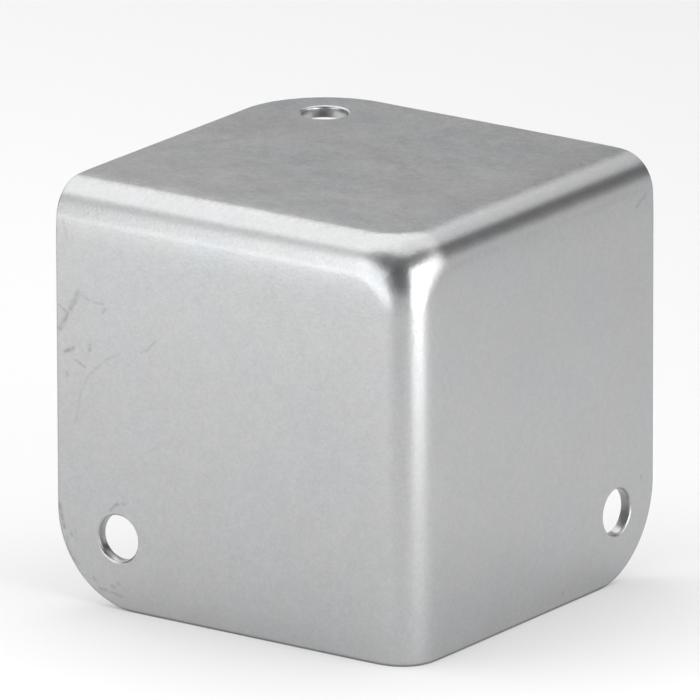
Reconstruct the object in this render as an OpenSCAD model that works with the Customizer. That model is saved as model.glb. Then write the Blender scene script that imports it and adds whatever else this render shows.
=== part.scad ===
/* [Sheet] */
// Thickness of the steel sheet
sheet = 1.2; // [0.8:0.1:2]

/* [Corner] */
// Length of each side, from the outer corner to the trimmed edge
side = 42; // [32:0.5:80]
// How much shorter the sheet is trimmed along Y
short_trim = 1; // [0:0.1:3]
// Inside radius of the three bends
bend_r = 2.5; // [1.5:0.1:3]
// Inside radius of the ball that the three bends run into
ball_r = 3.5; // [3:0.1:6]
// Radius on the free corner of each face
free_corner_r = 9.4; // [6:0.1:14]

/* [Screw holes] */
// Diameter of the hole in each face
hole_d = 4.6; // [3:0.1:6.5]
// Distance from a hole's middle to a full-length edge beside it
hole_inset = 7.2; // [6.5:0.1:10]
// Radius that the punch leaves on a hole's outer rim
rim_r = 0.32; // [0.2:0.02:0.5]
// Depth of that rounded rim
rim_depth = 0.3; // [0.1:0.05:0.4]

/* [Hidden] */

// Facets round each ball and rod that the ball corner is drawn over
ball_facets = 32;
// Balls along the widening stretch of each bend
blend_steps = 4;
// Facets on the true curves
$fn = 96;
// How far a cutting shape stands past what it cuts
past = 1;

// Length of the sheet along X, Y and Z
sides = [side, side - short_trim, side];
hole_reach = side - hole_inset;
bend_outer_r = bend_r + sheet;
ball_outer_r = ball_r + sheet;
ball_swell = ball_outer_r - bend_outer_r;
// Length of each bend, from the outer corner, that widens into the ball. At this
// length the edges of a flat face meet in a smooth curve where it nears the ball.
ball_run = ball_outer_r + 2 * ball_swell;
hole_r = hole_d / 2;

// The three faces and the three bends are alike, so each is drawn once, with the
// outer corner at the origin and the sheet reaching along the positive axes, and
// turned onto the other two places about the diagonal through the corner. The
// lengths along the piece's own axes turn with it.
module on_each_side() {
    for (turn = [0 : 2]) {
        $along_x = sides[turn];
        $along_y = sides[(turn + 1) % 3];
        $along_z = sides[(turn + 2) % 3];
        rotate(a = 120 * turn, v = [1, 1, 1])
            children();
    }
}

// A face as it is trimmed: square along the bends, with its free corner rounded.
module face_outline() {
    difference() {
        translate([bend_outer_r, bend_outer_r])
            square([$along_x - bend_outer_r, $along_y - bend_outer_r]);
        square(ball_run);
        translate([$along_x - free_corner_r, $along_y - free_corner_r])
            difference() {
                square(free_corner_r + past);
                circle(free_corner_r);
            }
    }
}

// The hole that the punch leaves: a straight wall with its outer rim rolled over.
module punched_hole() {
    rotate_extrude()
        difference() {
            translate([0, -past])
                square([hole_r + rim_r, sheet + 2 * past]);
            translate([hole_r + rim_r, rim_depth])
                circle(rim_r);
            translate([hole_r, rim_depth])
                square([rim_r + past, sheet + past]);
        }
}

module face_plate() {
    difference() {
        linear_extrude(sheet)
            face_outline();
        translate([hole_reach, hole_reach])
            punched_hole();
    }
}

// One straight bend, a quarter of a tube from the ball corner to the trimmed edge.
module edge_bend() {
    translate([bend_outer_r, bend_outer_r, ball_run])
        linear_extrude($along_z - ball_run)
            intersection() {
                difference() {
                    circle(bend_outer_r);
                    circle(bend_r);
                }
                translate([-bend_outer_r, -bend_outer_r])
                    square(bend_outer_r);
            }
}

// A ball with a point at each pole, so that it meets all three faces.
module ball(radius) {
    rotate_extrude($fn = ball_facets)
        intersection() {
            circle(radius, $fn = ball_facets);
            translate([0, -radius])
                square([radius, 2 * radius]);
        }
}

// The form that the sheet is drawn over: a row of balls in each bend that grow into
// the one in the corner, and a rod where the bend is straight, wrapped together.
module draw_form(inset) {
    hull()
        on_each_side() {
            for (step = [0 : blend_steps]) {
                share = step / blend_steps;
                outer_r = bend_outer_r + ball_swell * share ^ 2;
                reach = ball_run - (ball_run - ball_outer_r) * share;
                translate([outer_r, outer_r, reach])
                    ball(outer_r - inset);
            }
            translate([bend_outer_r, bend_outer_r, ball_run])
                cylinder(h = 2 * ball_run, r = bend_outer_r - inset, $fn = ball_facets);
        }
}

// The drawn corner, where the three bends run together.
module ball_corner() {
    intersection() {
        cube(ball_run);
        difference() {
            draw_form(0);
            draw_form(sheet);
        }
    }
}

// The whole corner, standing on the lower edges of its two walls.
module corner_shell() {
    color("silver")
        translate([sides.x / 2, -sides.y / 2, sides.z])
            rotate([0, 180, 0])
                union() {
                    ball_corner();
                    on_each_side() {
                        face_plate();
                        edge_bend();
                    }
                }
}

corner_shell();
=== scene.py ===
import math

import bpy
from mathutils import Matrix, Vector


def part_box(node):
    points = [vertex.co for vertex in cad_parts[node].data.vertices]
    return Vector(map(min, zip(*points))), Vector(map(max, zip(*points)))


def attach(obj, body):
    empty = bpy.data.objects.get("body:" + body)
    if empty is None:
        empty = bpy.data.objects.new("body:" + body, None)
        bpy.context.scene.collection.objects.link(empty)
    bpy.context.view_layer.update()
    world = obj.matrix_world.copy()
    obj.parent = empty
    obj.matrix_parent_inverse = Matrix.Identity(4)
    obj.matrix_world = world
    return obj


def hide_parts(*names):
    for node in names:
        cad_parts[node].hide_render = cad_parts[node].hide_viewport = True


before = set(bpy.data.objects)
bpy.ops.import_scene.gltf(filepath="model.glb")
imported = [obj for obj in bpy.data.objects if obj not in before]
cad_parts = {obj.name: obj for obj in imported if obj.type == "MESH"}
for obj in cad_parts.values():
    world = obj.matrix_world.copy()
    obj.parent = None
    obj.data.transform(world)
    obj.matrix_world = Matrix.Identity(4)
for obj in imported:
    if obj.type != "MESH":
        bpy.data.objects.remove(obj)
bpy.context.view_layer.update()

# Drawn shell: one blank of sheet steel, drawn over a die so that its three bends run into a ball corner.
# Its free corners are then trimmed round and its screw holes punched, which rolls their outer rims in.
# One face, with half of each bend beside it, is turned three times round the corner's diagonal.

MM = 0.001
shell_low, shell_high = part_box("corner_shell")
SHELL_SIZE = [high - low for low, high in zip(shell_low, shell_high)]
SHEET = 1.2 * MM
BEND_RADIUS = 3.7 * MM
BALL_RADIUS = 4.7 * MM
FREE_CORNER_RADIUS = 9.4 * MM
HOLE_RADIUS = 2.3 * MM
HOLE_REACH = 34.8 * MM
RIM_ROLL = 0.28 * MM
SHEARED_EDGE_ROLL = 0.12 * MM
BEND_STEPS = 16
ROW_RUN = 4.0 * MM
RUN_STEPS = 20
LEAN = math.radians(3.5)
LEAN_FLAT = 3.5 * MM
LEAN_BEND = 2.0 * MM
TOUCHING = 0.001 * MM
ROUNDING = 0.001
SHARP_ANGLE = math.radians(45)
ROLL_SEGMENTS = 4


class Reading:
    """A number in a node tree. Sums and products of readings add the nodes that work them out."""

    def __init__(self, tree, socket):
        self.tree = tree
        self.socket = socket

    def worked(self, operation, *values):
        node = self.tree.nodes.new("ShaderNodeMath")
        node.operation = operation
        for value, socket in zip(values, node.inputs):
            if isinstance(value, Reading):
                self.tree.links.new(value.socket, socket)
            else:
                socket.default_value = value
        return Reading(self.tree, node.outputs[0])

    def __add__(self, other):
        return self.worked("ADD", self, other)

    def __sub__(self, other):
        return self.worked("SUBTRACT", self, other)

    def __rsub__(self, other):
        return self.worked("SUBTRACT", other, self)

    def __mul__(self, other):
        return self.worked("MULTIPLY", self, other)

    def __truediv__(self, other):
        return self.worked("DIVIDE", self, other)

    def least(self, other):
        return self.worked("MINIMUM", self, other)

    def most(self, other):
        return self.worked("MAXIMUM", self, other)

    def root(self):
        return self.worked("SQRT", self)

    def floor(self):
        return self.worked("FLOOR", self)

    def tangent(self):
        return self.worked("TANGENT", self)

    def under(self, other):
        return self.worked("LESS_THAN", self, other)

    def over(self, other):
        return self.worked("GREATER_THAN", self, other)

    def ramp(self, start, end):
        """0 up to the start, 1 from the end on, and a straight climb between them."""
        return ((self - start) / (end - start)).most(0).least(1)

    __radd__ = __add__
    __rmul__ = __mul__


def new_tree(name, sizes, results):
    """Starts a Geometry Nodes tree, and returns it with its inputs as readings and its output node."""
    tree = bpy.data.node_groups.new(name, "GeometryNodeTree")
    for label, kind in sizes:
        tree.interface.new_socket(label, in_out="INPUT", socket_type=kind)
    for label in results:
        tree.interface.new_socket(label, in_out="OUTPUT", socket_type="NodeSocketGeometry")
    start = tree.nodes.new("NodeGroupInput")
    end = tree.nodes.new("NodeGroupOutput")
    given = {label: Reading(tree, start.outputs[label]) for label, kind in sizes}
    return tree, given, end


def step(tree, kind, result=None, settings=None, **values):
    """Adds one node, sets or links its inputs by name, and returns its result's socket."""
    node = tree.nodes.new(kind)
    for label, value in (settings or {}).items():
        setattr(node, label, value)
    for label, value in values.items():
        socket = node.inputs[label.replace("_", " ")]
        for item in value if isinstance(value, list) else [value]:
            if isinstance(item, Reading):
                tree.links.new(item.socket, socket)
            elif isinstance(item, bpy.types.NodeSocket):
                tree.links.new(item, socket)
            else:
                socket.default_value = item
    return node.outputs[result or 0]


def point(tree, x, y, z):
    return step(tree, "ShaderNodeCombineXYZ", X=x, Y=y, Z=z)


FLOAT = "NodeSocketFloat"
COUNT = "NodeSocketInt"
FACE_SIZES = [
    ("Length", FLOAT),
    ("Width", FLOAT),
    ("Sheet", FLOAT),
    ("Bend Radius", FLOAT),
    ("Ball Radius", FLOAT),
    ("Free Corner Radius", FLOAT),
    ("Hole Radius", FLOAT),
    ("Hole Reach", FLOAT),
    ("Bend Steps", COUNT),
    ("Row Run", FLOAT),
    ("Run Steps", COUNT),
]
face, size, face_end = new_tree("one_face", FACE_SIZES, ["Skin", "Trimming Die", "Punch"])
bend, ball = size["Bend Radius"], size["Ball Radius"]
run_length = (ball - bend) * 2
rows = size["Bend Steps"] + size["Run Steps"] + 2
blank = step(face, "GeometryNodeMeshGrid", Vertices_X=rows, Vertices_Y=rows)
index = Reading(face, step(face, "GeometryNodeInputIndex"))
row = (index / rows + ROUNDING).floor()
column = index - row * rows


def stations(number):
    """A row's slope in the bend, its run past the bend, and whether it is the trimmed edge.

    The ball's share there and the bend's radius come last.
    """
    slope = ((1 - number / size["Bend Steps"]).most(0) * (math.pi / 4)).tangent()
    beyond = (number - size["Bend Steps"]).most(0)
    run = beyond.least(size["Run Steps"]) / size["Run Steps"] * size["Row Run"]
    trimmed = beyond.over(size["Run Steps"] + 0.5)
    share = (1 - run / run_length).most(0)
    radius = bend + (ball - bend) * share * share
    return slope, run, trimmed, share, radius


def lean(slope, share):
    """How far the surface leans towards the ball where the bend widens into it."""
    whole = slope + 1
    return slope * share * 2 / (whole + (whole * whole - slope * 2 * (1 - share * share)).root())


slope_x, run_x, trimmed_x, share_x, radius_x = stations(row)
slope_y, run_y, trimmed_y, share_y, radius_y = stations(column)
lean_x = slope_x + (1 - slope_x) * lean(slope_y, share_x)
lean_y = slope_y + (1 - slope_y) * lean(slope_x, share_y)
radius = radius_x.least(radius_y)
reach = radius / (lean_x * lean_x + lean_y * lean_y + 1).root()
# The rows of a flat would fold together beside the ball, so they are spread there.
spread = run_x * run_y / (run_x + run_y + TOUCHING) * share_x * share_y
inner_x = radius_y + run_x + spread
inner_y = radius_x + run_y + spread
centre_x = inner_x + trimmed_x * (size["Length"] - inner_x)
centre_y = inner_y + trimmed_y * (size["Width"] - inner_y)
formed = point(face, centre_x - reach * lean_x, centre_y - reach * lean_y, radius - reach)
skin = step(face, "GeometryNodeSetPosition", Geometry=blank, Position=formed)
skin = step(face, "GeometryNodeFlipFaces", Mesh=skin)

PAST = 3 * MM
DIE_SIDES = 192
PUNCH_SIDES = 72
corner = size["Free Corner Radius"]
block_side = corner + PAST
block = step(
    face,
    "GeometryNodeMeshCube",
    Size=point(face, block_side, block_side, size["Sheet"] + PAST * 2),
)
block = step(
    face,
    "GeometryNodeTransform",
    Geometry=block,
    Translation=point(
        face,
        size["Length"] - corner + block_side * 0.5,
        size["Width"] - corner + block_side * 0.5,
        size["Sheet"] * 0.5,
    ),
)
arc = step(
    face,
    "GeometryNodeMeshCylinder",
    Vertices=DIE_SIDES,
    Radius=corner,
    Depth=size["Sheet"] + PAST * 4,
)
arc = step(
    face,
    "GeometryNodeTransform",
    Geometry=arc,
    Translation=point(face, size["Length"] - corner, size["Width"] - corner, size["Sheet"] * 0.5),
)
die = step(
    face,
    "GeometryNodeMeshBoolean",
    settings={"operation": "DIFFERENCE", "solver": "EXACT"},
    Mesh_1=block,
    Mesh_2=arc,
)
punch = step(
    face,
    "GeometryNodeMeshCylinder",
    Vertices=PUNCH_SIDES,
    Radius=size["Hole Radius"],
    Depth=size["Sheet"] + PAST * 2,
)
punch = step(
    face,
    "GeometryNodeTransform",
    Geometry=punch,
    Translation=point(face, size["Hole Reach"], size["Hole Reach"], size["Sheet"] * 0.5),
)
for label, made in (("Skin", skin), ("Trimming Die", die), ("Punch", punch)):
    face.links.new(made, face_end.inputs[label])

SHELL_SIZES = [
    ("Top Length", FLOAT),
    ("Top Width", FLOAT),
    ("Height", FLOAT),
    *FACE_SIZES[2:],
    ("Lean", FLOAT),
    ("Lean Flat", FLOAT),
    ("Lean Bend", FLOAT),
    ("Rim Roll", FLOAT),
    ("Edge Roll", FLOAT),
    ("Plating", "NodeSocketMaterial"),
]
shell, size, shell_end = new_tree("drawn_shell", SHELL_SIZES, ["Shell"])
FACE_SIDES = [("Top Length", "Top Width"), ("Top Width", "Height"), ("Height", "Top Length")]
made = {"Skin": [], "Trimming Die": [], "Punch": []}
for turn, (length, width) in enumerate(FACE_SIDES):
    group = shell.nodes.new("GeometryNodeGroup")
    group.node_tree = face
    for label, kind in FACE_SIZES:
        source = {"Length": length, "Width": width}.get(label, label)
        shell.links.new(size[source].socket, group.inputs[label])
    rotation = step(
        shell,
        "FunctionNodeAxisAngleToRotation",
        Axis=(1, 1, 1),
        Angle=turn * math.tau / 3,
    )
    for label, pieces in made.items():
        pieces.append(
            step(shell, "GeometryNodeTransform", Geometry=group.outputs[label], Rotation=rotation)
        )

skin = step(shell, "GeometryNodeJoinGeometry", Geometry=made["Skin"])
skin = step(shell, "GeometryNodeMergeByDistance", Geometry=skin, Distance=TOUCHING)


def axes(tree, vector):
    node = tree.nodes.new("ShaderNodeSeparateXYZ")
    tree.links.new(vector, node.inputs[0])
    return [Reading(tree, output) for output in node.outputs]


depths = axes(shell, step(shell, "GeometryNodeInputPosition"))
outward = axes(shell, step(shell, "GeometryNodeInputNormal"))
# The flats lean in a little on their way into the bends, and light runs off them softly.
lean_in = []
for depth in depths:
    past_bend = depth - size["Bend Radius"]
    flat = (1 - past_bend / size["Lean Flat"]).most(0).least(1)
    bent = (past_bend / size["Lean Bend"] + 1).most(0).least(1)
    gone_in = (1 - bent * bent * bent) * size["Lean Bend"]
    gone_in = gone_in + flat * flat * flat * size["Lean Flat"]
    lean_in.append(gone_in * (size["Lean"] / -3))
skin = step(
    shell,
    "GeometryNodeSetPosition",
    Geometry=skin,
    Offset=point(
        shell,
        outward[0] * (lean_in[1] + lean_in[2]),
        outward[1] * (lean_in[2] + lean_in[0]),
        outward[2] * (lean_in[0] + lean_in[1]),
    ),
)
inside = step(
    shell,
    "GeometryNodeExtrudeMesh",
    settings={"mode": "FACES"},
    Mesh=skin,
    Offset_Scale=size["Sheet"] * -1,
    Individual=False,
)
inside = step(shell, "GeometryNodeFlipFaces", Mesh=inside)
wall = step(shell, "GeometryNodeJoinGeometry", Geometry=[skin, inside])
wall = step(shell, "GeometryNodeMergeByDistance", Geometry=wall, Distance=TOUCHING)
trimmed = step(
    shell,
    "GeometryNodeMeshBoolean",
    settings={"operation": "DIFFERENCE", "solver": "EXACT"},
    Mesh_1=wall,
    Mesh_2=made["Trimming Die"],
)
# The punch leaves a wider roll on the outer rim of a hole than the shears do on an edge.
punching = shell.nodes.new("GeometryNodeMeshBoolean")
punching.operation = "DIFFERENCE"
punching.solver = "EXACT"
shell.links.new(trimmed, punching.inputs["Mesh 1"])
for piece in made["Punch"]:
    shell.links.new(piece, punching.inputs["Mesh 2"])
punched = step(
    shell,
    "GeometryNodeMergeByDistance",
    Geometry=punching.outputs["Mesh"],
    Distance=TOUCHING / 2,
)

outside = depths[0].least(depths[1]).least(depths[2]).under(SHEET / 4)
rim = Reading(shell, punching.outputs["Intersecting Edges"]) * outside
sharp = Reading(shell, step(shell, "GeometryNodeInputMeshEdgeAngle")).over(SHARP_ANGLE)
roll = rim.most(sharp * (size["Edge Roll"] / size["Rim Roll"]))
shell_mesh = step(
    shell,
    "GeometryNodeStoreNamedAttribute",
    settings={"domain": "EDGE", "data_type": "FLOAT"},
    Geometry=punched,
    Name="bevel_weight_edge",
    Value=roll,
)
stood = step(
    shell,
    "GeometryNodeTransform",
    Geometry=shell_mesh,
    Rotation=(0, math.pi, 0),
    Translation=point(shell, size["Top Length"] * 0.5, size["Top Width"] * -0.5, size["Height"]),
)
smooth = step(shell, "GeometryNodeSetShadeSmooth", Geometry=stood)
whole = step(shell, "GeometryNodeRealizeInstances", Geometry=smooth)
plated = step(shell, "GeometryNodeSetMaterial", Geometry=whole, Material=size["Plating"])
shell.links.new(plated, shell_end.inputs["Shell"])

zinc = bpy.data.materials.new("satin_zinc")
SHELL_VALUES = {
    "Top Length": SHELL_SIZE[0],
    "Top Width": SHELL_SIZE[1],
    "Height": SHELL_SIZE[2],
    "Sheet": SHEET,
    "Bend Radius": BEND_RADIUS,
    "Ball Radius": BALL_RADIUS,
    "Free Corner Radius": FREE_CORNER_RADIUS,
    "Hole Radius": HOLE_RADIUS,
    "Hole Reach": HOLE_REACH,
    "Bend Steps": BEND_STEPS,
    "Row Run": ROW_RUN,
    "Run Steps": RUN_STEPS,
    "Lean": LEAN,
    "Lean Flat": LEAN_FLAT,
    "Lean Bend": LEAN_BEND,
    "Rim Roll": RIM_ROLL,
    "Edge Roll": SHEARED_EDGE_ROLL,
    "Plating": zinc,
}
former = bpy.data.objects.new("former", bpy.data.meshes.new("former"))
bpy.context.scene.collection.objects.link(former)
drawing = former.modifiers.new("drawing", "NODES")
drawing.node_group = shell
for item in shell.interface.items_tree:
    if item.in_out == "INPUT":
        drawing[item.identifier] = SHELL_VALUES[item.name]


def settled(source, name):
    """The evaluated object's mesh as a plain mesh of its own."""
    evaluated = source.evaluated_get(bpy.context.evaluated_depsgraph_get())
    mesh = bpy.data.meshes.new_from_object(evaluated)
    mesh.name = name
    return mesh


corner_shell = bpy.data.objects.new("drawn_shell", settled(former, "punched_shell"))
bpy.data.objects.remove(former)
bpy.context.scene.collection.objects.link(corner_shell)
rolled = corner_shell.modifiers.new("rolled_edges", "BEVEL")
rolled.limit_method = "WEIGHT"
rolled.width = RIM_ROLL
rolled.segments = ROLL_SEGMENTS
rolled.use_clamp_overlap = False
flats = corner_shell.modifiers.new("flat_faces_lead", "WEIGHTED_NORMAL")
flats.mode = "FACE_AREA"
flats.keep_sharp = False
finished = settled(corner_shell, "drawn_shell")
corner_shell.modifiers.clear()
corner_shell.data = finished
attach(corner_shell, "root")
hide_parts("corner_shell")

# Zinc plating: a thin satin coat over the whole sheet, neutral grey with faint blue patches. The grain
# of the rolled sheet and a slight ripple from the drawing show through it. The trimmed edges are bare and
# darker, the two walls carry a few rubs and scratches from handling, and a painted contact shadow darkens
# the bottom edges where the shell stands on the floor.

PLATE_COLOUR = (0.450, 0.452, 0.454)
BLUE_CAST = (-0.0135, 0.0, 0.011)
SATIN = 0.30
SATIN_CHANGE = 0.06
RUBBED_DULLER = 0.2
GRAIN_DEPTH = 0.011 * MM
RIPPLE_DEPTH = 0.002 * MM
WIDE_SHADE = 0.05
NARROW_SHADE = 0.02
SPECK_SHADE = 0.06
SPECK_START, SPECK_END = 0.2444, 0.3556
GRAIN_SHADE = 0.18
MOTTLE_SHADE = 0.10
TOP_START, TOP_END = shell_high[2] - 0.34 * MM, shell_high[2] - 0.14 * MM
TOP_PATCH_SHADE = 0.26
TOP_MOTTLE_SHADE = 0.25
TOP_GRAIN_SHADE = 0.26
CUT_EDGE = 0.12 * MM
CUT_EDGE_SHADE = 0.20
# Painted contact shadow along the bottom edges: its width, and how much darker it makes them.
FOOT_SHADOW_WIDTH = 0.16 * MM
FOOT_SHADOW_DARKNESS = 0.35
zinc.use_nodes = True
plate = zinc.node_tree
coat = plate.nodes["Principled BSDF"]
spot = step(plate, "ShaderNodeTexCoord", "Object")
spot_x, spot_y, spot_z = axes(plate, spot)


def cloud(across, detail=1.0):
    """A soft random reading, from about -0.5 to 0.5, whose patches are as wide as given."""
    made = step(plate, "ShaderNodeTexNoise", "Fac", Vector=spot, Scale=1 / across, Detail=detail)
    return Reading(plate, made) - 0.5


def vector_step(operation, first, second, result="Vector"):
    """Adds one vector sum to the plating's tree, and returns the result asked for."""
    node = plate.nodes.new("ShaderNodeVectorMath")
    node.operation = operation
    second_socket = node.inputs["Scale"] if operation == "SCALE" else node.inputs[1]
    for value, socket in ((first, node.inputs[0]), (second, second_socket)):
        if isinstance(value, bpy.types.NodeSocket):
            plate.links.new(value, socket)
        else:
            socket.default_value = value
    return node.outputs[result]


def scratch(path, width):
    """How deep in a scratch a spot lies: 1 on its line through the given points, and 0 beside it."""
    deepest = None
    for start, end in zip(path, path[1:]):
        run = Vector(end) - Vector(start)
        offset = vector_step("SUBTRACT", spot, start)
        share = vector_step("DOT_PRODUCT", offset, run / run.length_squared, "Value")
        nearest = vector_step("SCALE", run, Reading(plate, share).most(0).least(1).socket)
        beside = Reading(plate, vector_step("DISTANCE", offset, nearest, "Value"))
        depth = (1 - beside / width).most(0)
        deepest = depth if deepest is None else deepest.most(depth)
    return deepest


# Each rub is given in millimetres from the wall's free edge and down from the top, then its half width
# and how much darker it is.
FRONT_RUBS = [
    ([(2.7, 10.7), (1.9, 12.2), (0.5, 14.6)], 0.476, 0.315),
    ([(5.9, 11.9), (5.6, 12.2)], 0.336, 0.2625),
    ([(5.6, 11.4), (4.2, 11.4), (2.7, 10.7)], 0.252, 0.15),
    ([(0.4, 12.3), (1.2, 12.9)], 0.224, 0.2625),
    ([(1.1, 16.9), (2.0, 16.4)], 0.364, 0.375),
    ([(4.0, 15.8), (4.0, 16.3)], 0.308, 0.3),
    ([(2.3, 17.6), (3.4, 18.1)], 0.252, 0.2625),
    ([(11.8, 14.1), (10.9, 15.1), (10.1, 15.5)], 0.224, 0.225),
    ([(7.6, 16.0), (5.9, 17.0), (3.8, 18.9), (2.9, 20.8), (2.2, 24.0)], 0.252, 0.135),
    ([(0.9, 3.8), (1.3, 5.4)], 0.28, 0.1875),
    ([(1.2, 19.0), (1.3, 19.3)], 0.252, 0.3),
    ([(11.3, 25.2), (12.4, 24.4), (14.3, 23.5)], 0.28, 0.09),
    ([(12.6, 22.4), (13.1, 21.9)], 0.42, 0.075),
    ([(6.3, 32.1), (7.0, 31.4), (7.3, 31.3)], 0.28, 0.3),
    ([(7.7, 31.2), (8.0, 31.2)], 0.252, 0.225),
    ([(10.3, 34.2), (10.4, 34.6)], 0.224, 0.1875),
    ([(0.2, 32.4), (0.4, 33.2), (0.8, 34.8)], 0.308, 0.375),
    ([(1.6, 35.3), (1.7, 35.5)], 0.252, 0.3),
    ([(1.1, 35.8), (1.2, 36.0)], 0.28, 0.3375),
    ([(2.1, 34.9), (2.2, 35.8)], 0.196, 0.1875),
    ([(1.1, 36.4), (1.6, 37.5), (2.4, 38.2)], 0.252, 0.3),
    ([(4.3, 39.3), (4.4, 39.5)], 0.252, 0.2625),
    ([(5.0, 40.2), (6.4, 40.4), (7.6, 40.6)], 0.28, 0.225),
    ([(6.4, 39.7), (6.7, 39.9)], 0.28, 0.2625),
    ([(7.2, 39.2), (7.3, 39.5)], 0.224, 0.225),
]
SIDE_RUBS = [
    ([(1.3, 3.8), (3.0, 4.6)], 0.28, 0.2625),
    ([(2.1, 32.2), (2.1, 32.4)], 0.28, 0.3),
    ([(15.5, 40.6), (15.5, 40.8)], 0.28, 0.3),
]


def on_front(aside, down):
    return (shell_low[0] + aside * MM, shell_low[1], shell_high[2] - down * MM)


def on_side(aside, down):
    return (shell_high[0], shell_high[1] - aside * MM, shell_high[2] - down * MM)


rubbed = None
for rubs, on_wall in ((FRONT_RUBS, on_front), (SIDE_RUBS, on_side)):
    for path, width, darker in rubs:
        depth = scratch([on_wall(*place) for place in path], width * MM) * darker
        rubbed = depth if rubbed is None else rubbed.most(depth)
rubbed = rubbed * cloud(0.5 * MM).ramp(-0.35, 0.15)

tone = cloud(6 * MM, 2.0) * WIDE_SHADE + cloud(2 * MM, 2.0) * NARROW_SHADE + 1
specks = cloud(0.55 * MM, 2.0).ramp(SPECK_START, SPECK_END)
grain = cloud(0.3 * MM)
mottle = cloud(0.8 * MM)
shade = tone * (1 - rubbed) * (1 - specks * SPECK_SHADE)
shade = shade * (grain * GRAIN_SHADE + mottle * MOTTLE_SHADE + 1)

# The top is more mottled than the walls.
on_top = spot_z.ramp(TOP_START, TOP_END)
top_patches = cloud(5 * MM, 2.0) * TOP_PATCH_SHADE
top_patches = top_patches + mottle * TOP_MOTTLE_SHADE + grain * TOP_GRAIN_SHADE
shade = shade * (on_top * top_patches + 1)

# The cut edges are darkest at the cut, and plain again at twice their width.
past_corner = [
    (FREE_CORNER_RADIUS - inset).most(0)
    for inset in (spot_x - shell_low[0], shell_high[1] - spot_y, spot_z - shell_low[2])
]
from_edge = FREE_CORNER_RADIUS - sum(run * run for run in past_corner).root()
cut_edge = from_edge.ramp(CUT_EDGE * 2, CUT_EDGE)
# A painted contact shadow darkens the bottom edges. It is darkest where they touch the floor and gone at
# twice its width.
painted_foot_shadow = (spot_z - shell_low[2]).ramp(FOOT_SHADOW_WIDTH * 2, FOOT_SHADOW_WIDTH)
shade = shade * (1 - cut_edge * CUT_EDGE_SHADE) * (1 - painted_foot_shadow * FOOT_SHADOW_DARKNESS)

blue = cloud(9 * MM).ramp(0, 0.25)
red_part, green_part, blue_part = [
    (blue * cast + plain) * shade for cast, plain in zip(BLUE_CAST, PLATE_COLOUR)
]
colour = step(plate, "ShaderNodeCombineColor", Red=red_part, Green=green_part, Blue=blue_part)
relief = step(
    plate,
    "ShaderNodeBump",
    Height=grain * GRAIN_DEPTH + cloud(1.7 * MM) * RIPPLE_DEPTH,
    Strength=1.0,
    Distance=1.0,
)
roughness = cloud(2.5 * MM, 2.0) * SATIN_CHANGE + rubbed * RUBBED_DULLER + SATIN
coat.inputs["Metallic"].default_value = 1
plate.links.new(colour, coat.inputs["Base Color"])
plate.links.new(roughness.socket, coat.inputs["Roughness"])
plate.links.new(relief, coat.inputs["Normal"])

# Floor: a plain white sheet that the corner stands on, lit by the boxes, with a little light of its own
# to the lens and to mirror rays, so that it stays pale and still takes the shadow.

FLOOR_SIDE = 1.2
FLOOR_LIFT = 0.13
FLOOR_TONE = (0.72, 0.72, 0.72, 1)
floor_mesh = bpy.data.meshes.new("floor")
half = FLOOR_SIDE / 2
floor_mesh.from_pydata(
    [(-half, -half, 0), (half, -half, 0), (half, half, 0), (-half, half, 0)], [], [(0, 1, 2, 3)]
)
floor = bpy.data.objects.new("floor", floor_mesh)
bpy.context.scene.collection.objects.link(floor)
paper = bpy.data.materials.new("white_paper")
paper.use_nodes = True
matt = paper.node_tree.nodes["Principled BSDF"]
matt.inputs["Base Color"].default_value = FLOOR_TONE
matt.inputs["Roughness"].default_value = 1
matt.inputs["Specular IOR Level"].default_value = 0
ray = paper.node_tree.nodes.new("ShaderNodeLightPath")
seen = None
for label in ("Is Camera Ray", "Is Glossy Ray", "Is Transmission Ray"):
    part = Reading(paper.node_tree, ray.outputs[label])
    seen = part if seen is None else seen.most(part)
lift = seen * FLOOR_LIFT
matt.inputs["Emission Color"].default_value = (1, 1, 1, 1)
paper.node_tree.links.new(lift.socket, matt.inputs["Emission Strength"])
floor_mesh.materials.append(paper)

# Lights: a broad box overhead and behind, which is brighter on its left and has a dimmer margin, two boxes
# on the right, and one in front on the left, again with a margin. A small box on the left lights the floor
# that the front wall mirrors, and is kept out of the mirror rays itself.

OVERHEAD_FACING = (0.517, -0.467, -0.716)
OVERHEAD_ALONG = (0.852, 0.361, 0.380)
FRONT_LEFT_FACING = (0.42, 0.91, 0)
FRONT_LEFT_ALONG = (0.91, -0.42, 0)


def soft_box(name, location, facing, along, width, height, glow, mirrored=True):
    """A lit panel at a place, which faces one direction, with its width along another."""
    lamp = bpy.data.lights.new(name, "AREA")
    lamp.shape = "RECTANGLE"
    lamp.size = width
    lamp.size_y = height
    lamp.energy = glow * math.pi * width * height
    box = bpy.data.objects.new(name, lamp)
    away = -Vector(facing).normalized()
    across = away.cross(Vector(along)).normalized()
    turned = Matrix((across.cross(away), across, away)).transposed().to_4x4()
    turned.translation = location
    box.matrix_world = turned
    box.visible_glossy = mirrored
    bpy.context.scene.collection.objects.link(box)


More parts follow.
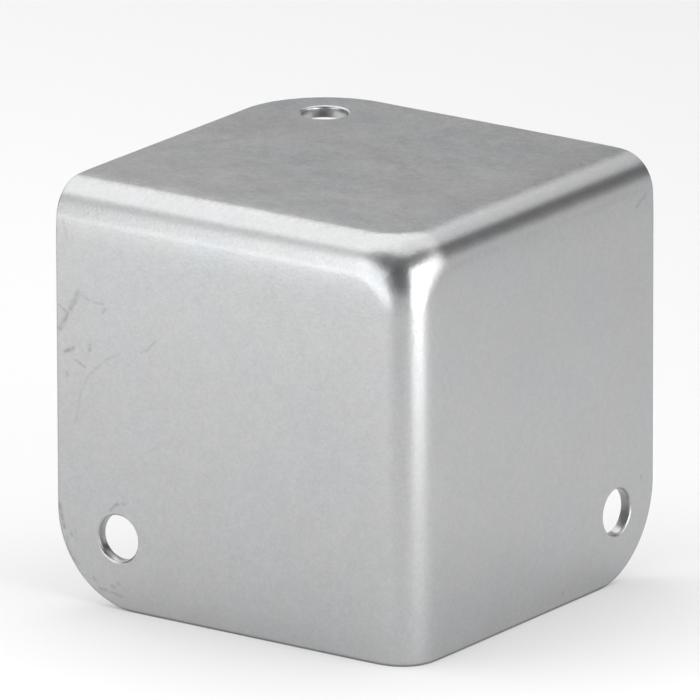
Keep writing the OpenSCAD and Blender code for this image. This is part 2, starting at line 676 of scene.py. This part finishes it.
soft_box(
    "box_overhead",
    location=(-0.085, 0.112, 0.595),
    facing=OVERHEAD_FACING,
    along=(0.829, 0.483, 0.284),
    width=0.990,
    height=0.850,
    glow=0.75,
)
soft_box(
    "box_overhead_left",
    location=(-0.271, 0.042, 0.505),
    facing=OVERHEAD_FACING,
    along=OVERHEAD_ALONG,
    width=0.560,
    height=0.820,
    glow=0.32,
)
soft_box(
    "box_overhead_margin",
    location=(-0.177, -0.004, 0.630),
    facing=OVERHEAD_FACING,
    along=OVERHEAD_ALONG,
    width=1.274,
    height=1.071,
    glow=0.55,
)
soft_box(
    "box_right_low",
    location=(0.156, -0.0266, 0.074),
    facing=(-0.99, 0.13, 0),
    along=(0.13, 0.99, 0),
    width=0.100,
    height=0.147,
    glow=3.6,
)
soft_box(
    "box_right_far",
    location=(0.375, 0.170, 0.234),
    facing=(-0.80, -0.41, -0.44),
    along=(-0.456, 0.89, 0),
    width=0.25,
    height=0.292,
    glow=0.8,
)
soft_box(
    "box_front_left",
    location=(-0.053, -0.260, 0.105),
    facing=FRONT_LEFT_FACING,
    along=FRONT_LEFT_ALONG,
    width=0.215,
    height=0.210,
    glow=1.33,
)
soft_box(
    "box_front_left_margin",
    location=(-0.080, -0.248, 0.140),
    facing=FRONT_LEFT_FACING,
    along=FRONT_LEFT_ALONG,
    width=0.255,
    height=0.280,
    glow=0.72,
)
soft_box(
    "box_left",
    location=(-0.24, -0.12, 0.13),
    facing=(0.75, 0.10, -0.65),
    along=(-0.13, 0.99, 0),
    width=0.20,
    height=0.12,
    glow=2.6,
    mirrored=False,
)

# Room: the dim air round the boxes, which the plating mirrors too. It has a pale wall behind, light low in
# front and on the right, soft spill beside the boxes, and the floor's own paleness below the horizon.

ROOM_GLOW = 0.10
FLOOR_GLOW = 0.93
CEILING_GLOW = 0.13
WALL_GLOW = 0.73
FRONT_GLOW = 1.10
RIGHT_GLOW = 1.60
WALL_TOP = 0.248
WALL_TILT = 0.066
WALL_FADE = 0.07
FRONT_TOP = 0.26
RIGHT_X, RIGHT_Y = 0.899, 0.438
RIGHT_HALF_WIDTH = 0.25
RIGHT_SIDE_FADE = 0.08
RIGHT_TOP = 0.56
RIGHT_TOP_FADE = 0.10
HORIZON_FADE = 0.02
# Each spill is given by its direction, how many degrees it reaches and its glow.
SPILLS = [
    ((-0.379, -0.485, 0.788), 24, 0.45),
    ((0.438, 0.522, 0.731), 13, 0.80),
    ((-0.554, -0.700, 0.450), 20, 0.42),
]
room = bpy.data.worlds.new("room")
bpy.context.scene.world = room
room.use_nodes = True
air = room.node_tree
gaze_x, gaze_y, gaze_z = axes(air, step(air, "ShaderNodeTexCoord", "Generated"))



def below(reading, top, fade):
    """1 where a reading lies under a limit and 0 above it, with a soft step between them."""
    return reading.ramp(top + fade / 2, top - fade / 2)


pale_wall = below(gaze_z + gaze_x * WALL_TILT, WALL_TOP, WALL_FADE) * gaze_y.ramp(0.2, 0.5)
low_in_front = gaze_z.ramp(FRONT_TOP, 0) * gaze_y.ramp(0, -0.3) * gaze_x.ramp(-0.15, 0.15)
glow = pale_wall * (WALL_GLOW - ROOM_GLOW) + low_in_front * FRONT_GLOW + ROOM_GLOW
glow = glow + gaze_z.ramp(0.6, 0.8) * CEILING_GLOW
for towards, reach, spill_glow in SPILLS:
    along = gaze_x * towards[0] + gaze_y * towards[1] + gaze_z * towards[2]
    spill = ((along - 1) / (1 - math.cos(math.radians(reach))) + 1).most(0)
    glow = glow + spill * spill_glow

ahead = gaze_x * RIGHT_X + gaze_y * RIGHT_Y
aside = (gaze_y * RIGHT_X - gaze_x * RIGHT_Y) / ahead.most(0.01)
low_on_right = below(aside.most(aside * -1), RIGHT_HALF_WIDTH, RIGHT_SIDE_FADE)
low_on_right = low_on_right * below(gaze_z, RIGHT_TOP, RIGHT_TOP_FADE) * ahead.over(0)
glow = glow + low_on_right * (RIGHT_GLOW - glow)
glow = glow + gaze_z.ramp(0, -HORIZON_FADE) * (FLOOR_GLOW - glow)
backdrop = air.nodes["Background"]
air.links.new(glow.socket, backdrop.inputs["Strength"])
backdrop.inputs["Color"].default_value = (1, 1, 1, 1)

# Camera: a long lens that stands a little above the corner and to its right, at the photograph's angle.
# It is turned and rolled by the angles that were measured from the photograph's edges.

LENS = 847.3
SENSOR = 36
CAMERA_TURN = math.radians(35.2945)
CAMERA_RISE = math.radians(16.6622)
CAMERA_ROLL = math.radians(0.1582)
CAMERA_DISTANCE = 1.6
AIM_RIGHT = -0.5821 * MM
AIM_UP = 2.4732 * MM
camera_data = bpy.data.cameras.new("camera")
camera_data.lens = LENS
camera_data.sensor_width = SENSOR
camera = bpy.data.objects.new("camera", camera_data)
bpy.context.scene.collection.objects.link(camera)
back = Vector(
    (
        math.sin(CAMERA_TURN) * math.cos(CAMERA_RISE),
        -math.cos(CAMERA_TURN) * math.cos(CAMERA_RISE),
        math.sin(CAMERA_RISE),
    )
)
right = Vector((math.cos(CAMERA_TURN), math.sin(CAMERA_TURN), 0))
right.rotate(Matrix.Rotation(-CAMERA_ROLL, 3, back))
up = back.cross(right)
middle = Vector((0, 0, SHELL_SIZE[2] / 2))
stand = Matrix((right, up, back)).transposed().to_4x4()
stand.translation = middle + right * AIM_RIGHT + up * AIM_UP + back * CAMERA_DISTANCE
camera.matrix_world = stand
bpy.context.scene.camera = camera
bpy.context.scene.view_settings.view_transform = "Standard"
